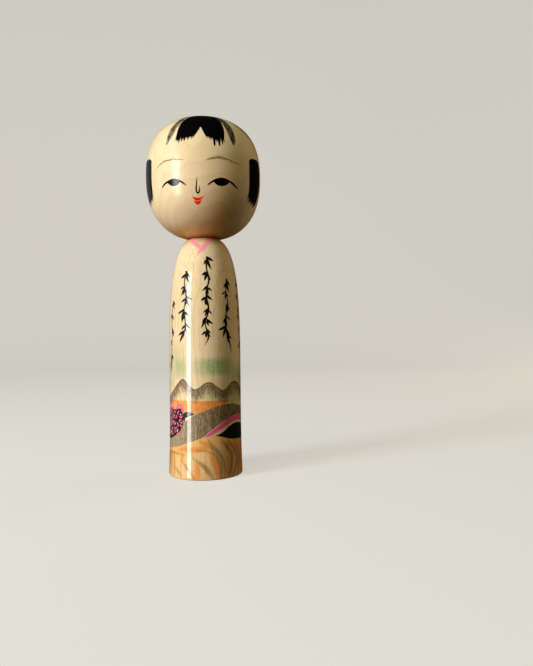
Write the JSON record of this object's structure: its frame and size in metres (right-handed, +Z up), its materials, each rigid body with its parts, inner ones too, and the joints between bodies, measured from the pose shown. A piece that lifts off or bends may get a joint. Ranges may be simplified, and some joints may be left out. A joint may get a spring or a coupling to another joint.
{
  "type": "kokeshi doll",
  "caption": "Turned wooden doll with a round head that turns on a peg in a plain cylindrical body, painted face and landscape.",
  "frame": {"origin": "centre of the flat base, where the doll stands", "axes": "+Z up along the turning axis, the painted face towards -Y, the doll's left side towards +X"},
  "size_m": [0.0774, 0.0774, 0.24],
  "materials": {
    "body_wood": "waxed pale wood with painted washes",
    "head_wood": "waxed pale wood",
    "dowel_wood": "bare turned wood",
    "ink_black": "black ink under wax",
    "ink_brown": "thin brown-grey ink under wax",
    "paint_red": "bright red paint under wax",
    "paint_pink": "pink paint under wax",
    "paint_green": "deep green paint under wax",
    "paint_white": "white paint under wax"
  },
  "bodies": {
    "body": {"body": "body_wood"},
    "head": {"head": "head_wood", "neck_dowel": "dowel_wood"}
  },
  "joints": [
    {"name": "head_turn", "type": "hinge", "parent": "body", "child": "head", "pos_m": [0, 0, 0.1594], "axis": [0, 0, 1], "continuous": true}
  ]
}
